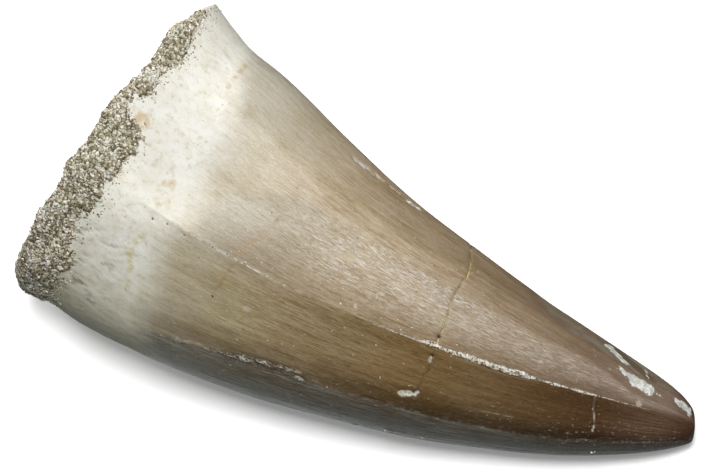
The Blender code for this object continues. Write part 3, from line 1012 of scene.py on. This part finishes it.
MARK_LAYERS = (
    # Painted shade that dims the lit top of the root, and the enamel worn off near the tip
    ("tint", (236, 236, 238), ("degrees", -30, -2), ("degrees", 30, 14), ("along", 15, 9)),
    ("mix", ((124, 110, 90), (150, 140, 124), ("mottle", 0.4, 0.6)), "wear", 0.65),
    ("mix", (92, 78, 58), ("bare_end", -0.15, 0.35), ("mottle", 0.34, 0.6, 0.5, 0.85)),
    # Stains, cracks with beads of lime, chips, a painted highlight on the smooth crest, painted
    # shadow under the ledge, painted shade in the pits, and what is left on the tip
    ("mix", (162, 124, 84), ("stain", 0.3, 0.02), ("patchy", 0.38, 0.6, 0.1, 0.7)),
    ("mix", ((182, 150, 100), (190, 180, 112), ("degrees", 24, 40)), ("ochre", 0.45, 0),
     ("patchy", 0.36, 0.62, 0.05, 1), 0.7),
    ("mix", (70, 52, 32), ("crack", 0.15, 0.08, 0, 0.5)),
    ("mix", ((186, 168, 118), (182, 172, 152), ("along", 43, 47)), ("crack", 0.11, 0.04),
     ("beads", 0.4, 0.6, 0.12, 1), "clear"),
    # Painted highlight on the smooth crest, white chips where it is chipped
    ("mix", (220, 218, 206), "white_crest"),
    # Painted shadow along the ledge under the chipped crest
    ("mix", (62, 48, 32), "ledge", 0.75),
    ("mix", (74, 68, 56), "scaly", ("speck", 0.62, 0.46), 0.8),
    ("mix", (192, 192, 192), "far", ("patchy", 0.44, 0.54, 0.1, 1)),
    ("mix", (216, 212, 200), "flake", ("speck", 0.4, 0.6)),
    ("mix", ((176, 178, 172), (218, 219, 210), ("patchy", 0.4, 0.6)), "white_left"),
    ("mix", ((170, 162, 144), (214, 210, 198), ("speck", 0.4, 0.6)), ("chip", -0.08, 0.14)),
    ("mix", (206, 192, 176), ("pale_spot", -0.02, 0.2), 0.5),
    # Painted shade in the pits
    ("mix", (48, 38, 28), ("hole", 0.3, 0.75)),
    # Dust on the low side of the tip, and scattered pale and dark specks
    ("mix", (196, 188, 178), ("along", 41, 52), ("degrees", 34, 62, 0.2, 1),
     ("dust", 0.62, 0.7), 0.35),
    ("mix", (190, 176, 150), ("thread", 0.1, 0.03), ("patchy", 0.35, 0.6), 0.5),
    ("mix", (225, 215, 195), ("bright", 0.715, 0.78), ("along", 44, 34, 0.2, 0.6)),
    ("mix", (95, 72, 48), ("dark", 0.25, 0.19), 0.5),
)


class EnamelFinish(Finish):
    """The tooth's material: its named values, then colour, gloss and relief."""

    def __init__(self):
        super().__init__("enamel_and_root", IOR=ENAMEL_IOR)
        self.at, self.grain, self.values = self.place(), self.vector("grain"), {}
        value, values, uneven = self.value, self.values, self.uneven
        values["ragged"] = self.sum("enamel", uneven("uneven", 1.6), uneven("fine", 1.6))
        values["shifted"] = self.sum("along", uneven("blur", 7))
        low_side = self.product(("degrees", 50, 69, 0, 6))
        values["later"] = self.calc("SUBTRACT", value("along"), low_side)
        off_middle = self.calc("SUBTRACT", value("veins"), 0.5)
        values["off_vein"] = self.calc("ABSOLUTE", off_middle)
        values["vein"] = self.product(("off_vein", 0.045, 0), ("below_edge", 0, 3))
        # The band's painted sheen, with glinting flecks
        values["flecks"] = self.product(*SHEEN_BAND)
        faint = self.product(("degrees", 24, 32), ("along", 44, 42, 0, 0.8))
        values["clear"] = self.calc("SUBTRACT", 1.0, faint)
        values["white_crest"] = self.product("crest", ("speck", 0.4, 0.56))
        values["rough_white"] = self.sum("mineral", uneven("speck", 0.5))
        values["white_left"] = self.product(("rough_white", -0.02, 0.14))
        values["pale_spot"] = self.sum("pale", uneven("speck", 0.6))
        # The painted sheen's colour along the tooth
        values["silver"] = self.along_ramp("along", PAINTED_SHEEN_TONES)
        crown = self.layered(self.along_ramp("shifted", CROWN_TONES), CROWN_LAYERS)
        root = self.layered(ROOT_CREAM, ROOT_LAYERS)
        base = self.mix(self.product(("ragged", -0.2, 3.6)), root, crown)
        self.coat(self.layered(base, MARK_LAYERS), self.roughness(), self.relief())

    def value(self, name):
        """A named value, a noise, or else one of the mesh's own numbers."""
        if name in self.values:
            return self.values[name]
        if name in STREAKS:
            scale, *settings = STREAKS[name]
            made = self.noise(self.stretched(self.grain, scale), 1.0, *settings)
        else:
            made = self.noise(self.at, *MOTTLES[name]) if name in MOTTLES else self.number(name)
        self.values[name] = made
        return made

    def uneven(self, name, amount):
        return self.swing(self.value(name), amount)

    def factor(self, given):
        if isinstance(given, str):
            return self.value(given)
        if isinstance(given, tuple):
            return self.step(self.value(given[0]), *given[1:])
        return given

    def product(self, *factors):
        return self.times(*map(self.factor, factors))

    def sum(self, first, *others):
        total = self.factor(first)
        for other in others:
            total = self.calc("ADD", total, self.factor(other))
        return total

    def along_ramp(self, name, tones):
        return self.ramp(self.calc("DIVIDE", self.value(name), ARC_LENGTH), tones)

    def layered(self, base, layers):
        for way, colour, *factors in layers:
            if isinstance(colour, str):
                colour = self.values[colour]
            elif isinstance(colour[0], tuple):
                first, second, factor = colour
                colour = self.mix(self.factor(factor), first, second)
            put_on = self.tinted if way == "tint" else self.mix
            base = put_on(self.product(*factors), base, colour)
        return base

    def roughness(self):
        """The crown is polished; the root and what is chipped are dull."""
        polish = self.sum(("ragged", 0, 3, 0.6, 0.34), self.uneven("fine", 0.18))
        chip = self.factor(("chip", -0.08, 0.14))
        chipped = self.calc("MAXIMUM", self.value("white_left"), chip)
        dull = self.calc("MAXIMUM", chipped, self.value("white_crest"))
        return self.calc("ADD", polish, self.times(dull, 0.35), clamp=True)

    def relief(self):
        """Streaks, flecks and veins on the crown, soft mottling on the root."""
        heights = (("fine", 0.8), ("hair", 0.7), ("flecks", 1.2), ("grit", 0.6))
        height = self.sum(*[self.product(name, amount) for name, amount in heights])
        height = self.calc("SUBTRACT", height, self.value("vein"))
        height = self.times(height, self.factor(("ragged", 0, 3, 0.15, 1)))
        normal = self.bump(height, 0.03, 0.8)
        on_root = self.factor(("ragged", 3, 0, 0.15, 0.6))
        normal = self.bump(self.sum("mottle", "ripple"), 0.04, on_root, normal)
        return self.bump(self.value("speck"), 0.03, 0.5, normal)


def rock_finish():
    finish = Finish("sandstone_body", IOR=ENAMEL_IOR)
    step, mix, noise_at = finish.step, finish.mix, finish.noise
    place = finish.place()
    cell = finish.cells(place, SAND_CELLS, output="Color")
    picked = finish.node("ShaderNodeSeparateColor", ((0, cell),)).outputs[0]
    gap = finish.cells(place, SAND_CELLS, "DISTANCE_TO_EDGE")
    colour = finish.ramp(picked, ROCK_TONES)
    colour = mix(step(gap, 0.1, 0.02, 0.0, 0.8), colour, (66, 54, 38))
    broad = noise_at(place, 330.0, 3.0)
    colour = mix(step(broad, 0.45, 0.65, 0.0, 0.5), colour, (120, 114, 88))
    pale = step(finish.calc("ADD", finish.number("pale"), finish.swing(broad, 1.2)), 0.0, 0.25)
    colour = mix(finish.times(pale, 0.75), colour, (202, 206, 200))
    normal = finish.bump(step(gap, 0.0, 0.16), 0.08, 0.9)
    normal = finish.bump(noise_at(place, 6000.0, 3.0, 0.7), 0.04, 0.6, normal)
    finish.coat(colour, step(picked, 0.0, 1.0, 0.85, 0.45), normal)
    return finish


def grain_finish():
    finish = Finish("sand_grains", IOR=QUARTZ_IOR)
    step, mix, tinted, noise_at = finish.step, finish.mix, finish.tinted, finish.noise
    kind, place = finish.number("kind"), finish.place()
    cloud = noise_at(place, 5200.0, 3.0, 0.6)
    green = step(noise_at(place, 300.0, 3.0), 0.46, 0.6, 0.0, 0.4)
    chalk = step(noise_at(place, 420.0, 4.0, 0.6), 0.58, 0.68, 0.0, 0.7)
    colour = finish.ramp(kind, GRAIN_TONES)
    colour = mix(step(finish.number("tint"), 0.82, 0.98, 0.0, 0.4), colour, (150, 116, 74))
    colour = tinted(green, colour, (204, 212, 190))
    colour = mix(chalk, colour, (226, 226, 218))
    colour = tinted(step(cloud, 0.35, 0.7, 0.0, 0.4), colour, (190, 180, 160))
    finish.coat(colour, step(kind, 0.0, 1.0, 0.6, 0.25), finish.bump(cloud, 0.02, 0.6))
    return finish


# ------------ camera, floor and light
AZIMUTH = math.radians(23)
ELEVATION = math.radians(62)
DISTANCE = 300
SEEN_WIDTH = 70.8  # mm across the picture at the camera's target
TARGET = (-5.12, 5.79, 4.58)
SENSOR = 36

# The stage and the lights are in metres
STAGE_RADIUS = 1.5
WALL_HEIGHT = 1.2
STAGE_SIDES = 48
# How bright the room is at each height, from straight down at -1 to straight up at 1
SKY = (
    (-0.98, (0.75, 0.82, 0.8)),
    (-0.84, (0.03, 0.03, 0.03)),
    (0.1, (0.03, 0.03, 0.03)),
    (0.6, (0.3, 0.3, 0.3)),
)


def aimed(thing, place, target):
    back = (Vector(place) - Vector(target)).normalized()
    turned = back.to_track_quat("Z", "Y").to_matrix().to_4x4()
    thing.matrix_world = Matrix.Translation(place) @ turned


def make_camera():
    target = Vector(TARGET) * MM
    back = Vector((
        math.sin(AZIMUTH) * math.cos(ELEVATION),
        -math.cos(AZIMUTH) * math.cos(ELEVATION),
        math.sin(ELEVATION),
    ))
    lens = bpy.data.cameras.new("camera")
    lens.sensor_width = SENSOR
    lens.lens = SENSOR * DISTANCE / SEEN_WIDTH
    lens.clip_start = 0.01
    camera = placed("camera", lens)
    aimed(camera, target + back * DISTANCE * MM, target)
    bpy.context.scene.camera = camera


def make_stage():
    """A pale floor with a pale wall far around it, which throw no light back."""
    ring = [
        (STAGE_RADIUS * math.cos(turn), STAGE_RADIUS * math.sin(turn))
        for turn in np.linspace(0, 2 * math.pi, STAGE_SIDES, endpoint=False)
    ]
    floor = bpy.data.meshes.new("floor")
    floor.from_pydata([(x, y, 0) for x, y in ring], [], [tuple(range(STAGE_SIDES))])
    wall = bpy.data.meshes.new("backdrop")
    corners = [(x, y, z) for z in (0, WALL_HEIGHT) for x, y in ring]
    pairs = [(i, (i + 1) % STAGE_SIDES) for i in range(STAGE_SIDES)]
    wall.from_pydata(corners, [], [(i, j, j + STAGE_SIDES, i + STAGE_SIDES) for i, j in pairs])
    floor_finish = Finish(
        "pale_floor", Base_Color=(0.95, 0.95, 0.95, 1), Roughness=0.6,
        Emission_Color=(1, 1, 1, 1), Emission_Strength=0.18,
    )
    wall_finish = Finish(
        "pale_wall", Base_Color=(0, 0, 0, 1), Roughness=1.0, Specular_IOR_Level=0.0,
        Emission_Color=(1, 1, 1, 1), Emission_Strength=0.9,
    )
    for mesh, finish in ((floor, floor_finish), (wall, wall_finish)):
        stage = placed(mesh.name, mesh)
        finish.wear(stage)
        stage.visible_diffuse = False
        stage.visible_glossy = False
        stage.visible_shadow = False


def make_sky():
    world = bpy.data.worlds.new("studio")
    world.use_nodes = True
    nodes, links = world.node_tree.nodes, world.node_tree.links
    direction = nodes.new("ShaderNodeTexCoord")
    split = nodes.new("ShaderNodeSeparateXYZ")
    height = nodes.new("ShaderNodeMapRange")
    height.inputs["From Min"].default_value = -1
    shade = nodes.new("ShaderNodeValToRGB")
    set_stops(shade.color_ramp, [((level + 1) / 2, (*colour, 1)) for level, colour in SKY])
    links.new(direction.outputs["Generated"], split.inputs[0])
    links.new(split.outputs[2], height.inputs[0])
    links.new(height.outputs[0], shade.inputs[0])
    links.new(shade.outputs[0], nodes["Background"].inputs["Color"])
    bpy.context.scene.world = world


def make_light(name, place, target, size, power, reached=None):
    """An area light; one with a list of objects to reach lights only those."""
    data = bpy.data.lights.new(name, "AREA")
    data.shape = "RECTANGLE"
    data.size, data.size_y = size
    data.energy = power
    light = placed(name, data)
    aimed(light, place, target)
    if reached:
        receivers = bpy.data.collections.new("reached_by_" + name)
        for thing in reached:
            receivers.objects.link(thing)
        light.light_linking.receiver_collection = receivers
    return light


def make_studio(pieces):
    bpy.context.scene.view_settings.view_transform = "Standard"
    make_sky()
    middle, floor = (0, 0, 0), [bpy.data.objects["floor"]]
    soft = make_light("overhead", (0.09, -0.07, 0.59), middle, (0.36, 0.3), 3.8, pieces)
    soft.visible_glossy = False
    sheen = make_light("sheen", (0.12, 0.12, 0.57), middle, (0.2, 0.12), 1.2, pieces)
    sheen.visible_diffuse = False
    make_light("back_fill", (-0.36, 0.32, 0.24), (0, 0, 0.012), (0.3, 0.2), 1.3)
    make_light("floor_light", (0.0, -0.125, 0.58), middle, (0.17, 0.17), 3.0, floor)


def main():
    make_camera()
    make_stage()

    tooth = make_tooth()
    EnamelFinish().wear(tooth)
    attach(tooth, "root")
    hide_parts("tooth")

    rock, sheet = make_rock()
    rock_finish().wear(rock)
    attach(rock, "root")
    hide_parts("matrix")

    both_grains = make_grains(sheet)
    finish = grain_finish()
    for grains in both_grains:
        finish.wear(grains)
        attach(grains, "root")

    make_studio([tooth, rock, *both_grains])


main()
